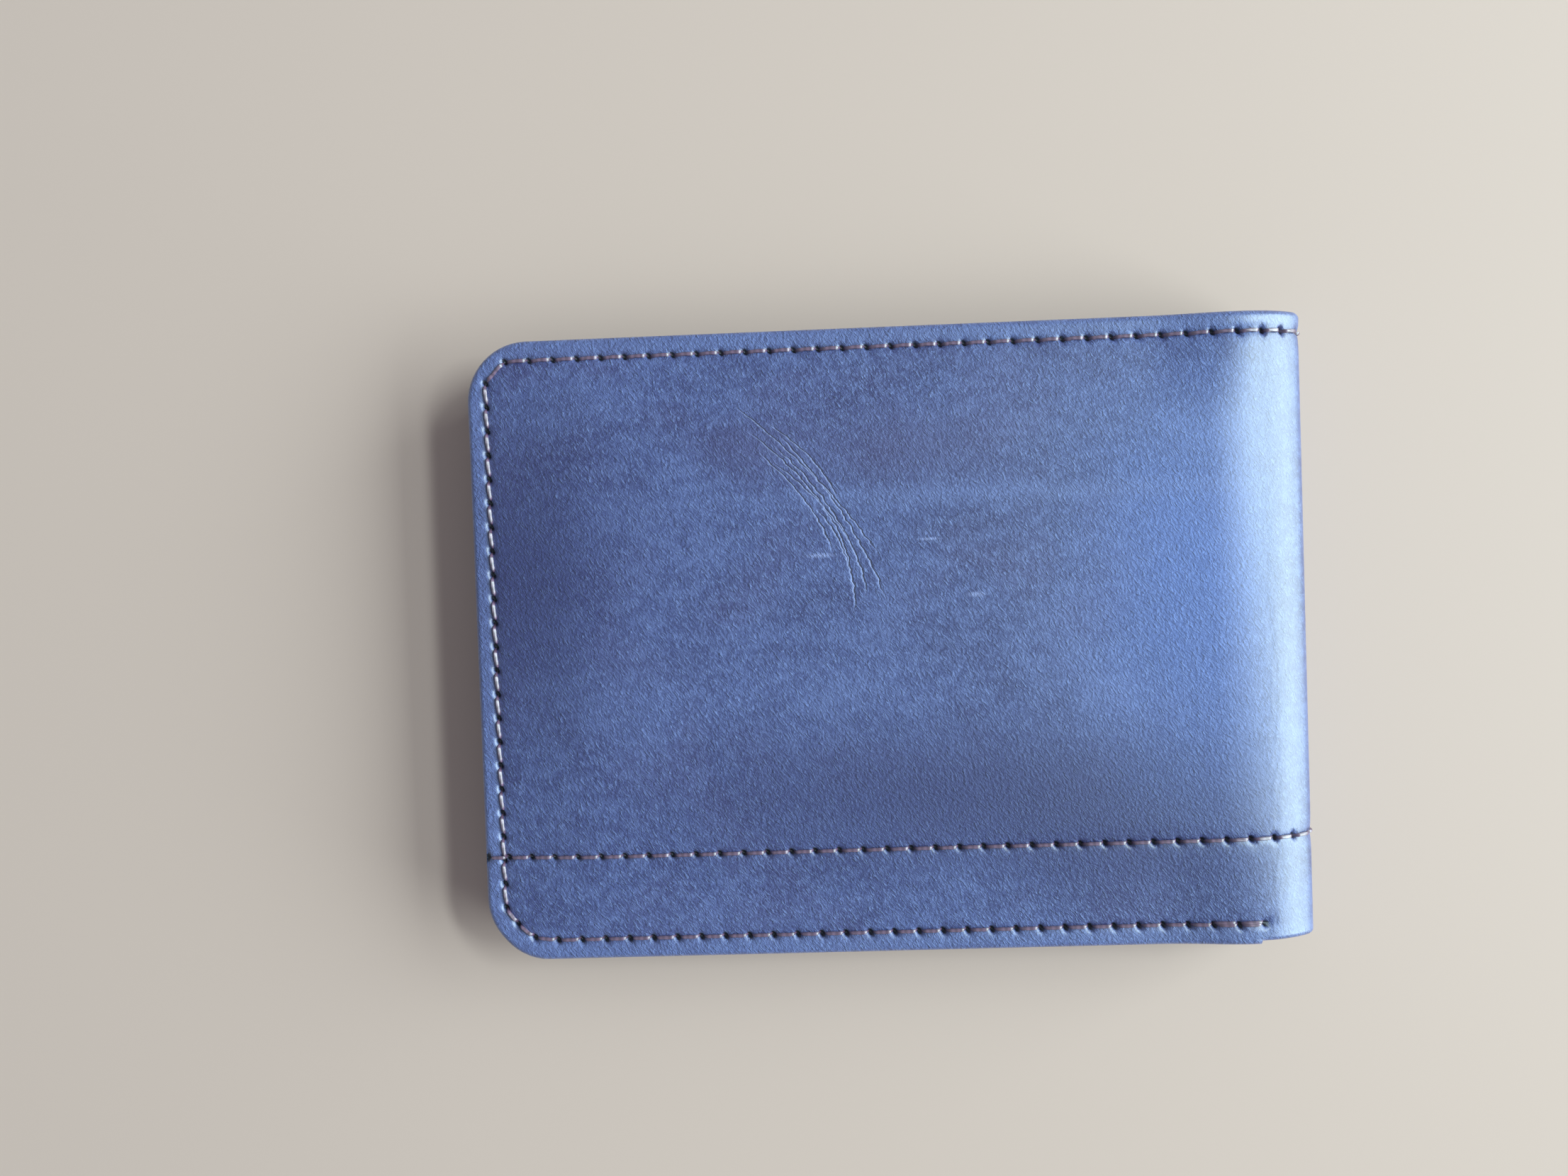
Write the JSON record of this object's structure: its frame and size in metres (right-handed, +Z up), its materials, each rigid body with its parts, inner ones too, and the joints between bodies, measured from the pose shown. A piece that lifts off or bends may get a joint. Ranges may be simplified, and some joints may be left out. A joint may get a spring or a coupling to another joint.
{
  "type": "bifold wallet",
  "caption": "Closed bifold leather wallet with a rounded spine, sewn edges, a lined and divided note compartment, card pockets and an identity window; it opens flat.",
  "frame": {"origin": "centre of the closed wallet's footprint, on the surface that it lies on", "axes": "+X from the free edges to the spine, +Y from the closed bottom edge to the mouth of the note compartment, +Z up through the closed wallet"},
  "size_m": [0.118, 0.088, 0.014],
  "materials": {
    "shell_leather": "waxed slate-blue pull-up leather with fine diagonal grain, satin",
    "inner_leather": "slate-blue leather, satin",
    "lining_fabric": "dark plain-woven lining",
    "divider_fabric": "dark plain-woven divider",
    "sewing_thread": "waxed dark maroon sewing thread",
    "window_film": "clear flexible film"
  },
  "bodies": {
    "lower_half": {"shell_lower": "shell_leather", "lining_lower": "lining_fabric", "divider_lower": "divider_fabric", "backing_lower": "inner_leather", "perimeter_thread_lower": "sewing_thread", "divider_thread_lower": "sewing_thread", "lower_card_strip_1": "inner_leather", "lower_card_strip_2": "inner_leather", "lower_card_lining_1": "lining_fabric", "lower_card_lining_2": "lining_fabric", "lower_strip_thread_1": "sewing_thread", "lower_strip_thread_2": "sewing_thread", "front_pocket_panel": "inner_leather", "front_pocket_thread": "sewing_thread"},
    "spine_1": {"shell_spine_1": "shell_leather", "lining_spine_1": "lining_fabric", "divider_spine_1": "divider_fabric", "backing_spine_1": "inner_leather"},
    "spine_2": {"shell_spine_2": "shell_leather", "lining_spine_2": "lining_fabric", "divider_spine_2": "divider_fabric", "backing_spine_2": "inner_leather"},
    "spine_3": {"shell_spine_3": "shell_leather", "lining_spine_3": "lining_fabric", "divider_spine_3": "divider_fabric", "backing_spine_3": "inner_leather"},
    "spine_4": {"shell_spine_4": "shell_leather", "lining_spine_4": "lining_fabric", "divider_spine_4": "divider_fabric", "backing_spine_4": "inner_leather"},
    "spine_5": {"shell_spine_5": "shell_leather", "lining_spine_5": "lining_fabric", "divider_spine_5": "divider_fabric", "backing_spine_5": "inner_leather"},
    "upper_half": {"shell_upper": "shell_leather", "lining_upper": "lining_fabric", "divider_upper": "divider_fabric", "backing_upper": "inner_leather", "perimeter_thread_upper": "sewing_thread", "divider_thread_upper": "sewing_thread", "upper_card_strip_1": "inner_leather", "upper_card_strip_2": "inner_leather", "upper_card_lining_1": "lining_fabric", "upper_card_lining_2": "lining_fabric", "upper_strip_thread_1": "sewing_thread", "upper_strip_thread_2": "sewing_thread", "id_window_frame": "inner_leather", "id_window_thread": "sewing_thread", "id_window_film": "window_film"}
  },
  "joints": [
    {"name": "fold_1", "type": "hinge", "parent": "lower_half", "child": "spine_1", "pos_m": [0.05371, 0, 0.0006], "axis": [0, 1, 0], "range_deg": [0, 30]},
    {"name": "fold_2", "type": "hinge", "parent": "spine_1", "child": "spine_2", "pos_m": [0.05669, 0, 0.00231], "axis": [0, 1, 0], "range_deg": [0, 30]},
    {"name": "fold_3", "type": "hinge", "parent": "spine_2", "child": "spine_3", "pos_m": [0.0584, 0, 0.00529], "axis": [0, 1, 0], "range_deg": [0, 30]},
    {"name": "fold_4", "type": "hinge", "parent": "spine_3", "child": "spine_4", "pos_m": [0.0584, 0, 0.00871], "axis": [0, 1, 0], "range_deg": [0, 30]},
    {"name": "fold_5", "type": "hinge", "parent": "spine_4", "child": "spine_5", "pos_m": [0.05669, 0, 0.01169], "axis": [0, 1, 0], "range_deg": [0, 30]},
    {"name": "fold_6", "type": "hinge", "parent": "spine_5", "child": "upper_half", "pos_m": [0.05371, 0, 0.0134], "axis": [0, 1, 0], "range_deg": [0, 30]}
  ],
  "couplings": [
    {"joint": "fold_1", "follows": "fold_4", "ratio": 1},
    {"joint": "fold_2", "follows": "fold_4", "ratio": 1},
    {"joint": "fold_3", "follows": "fold_4", "ratio": 1},
    {"joint": "fold_5", "follows": "fold_4", "ratio": 1},
    {"joint": "fold_6", "follows": "fold_4", "ratio": 1}
  ]
}
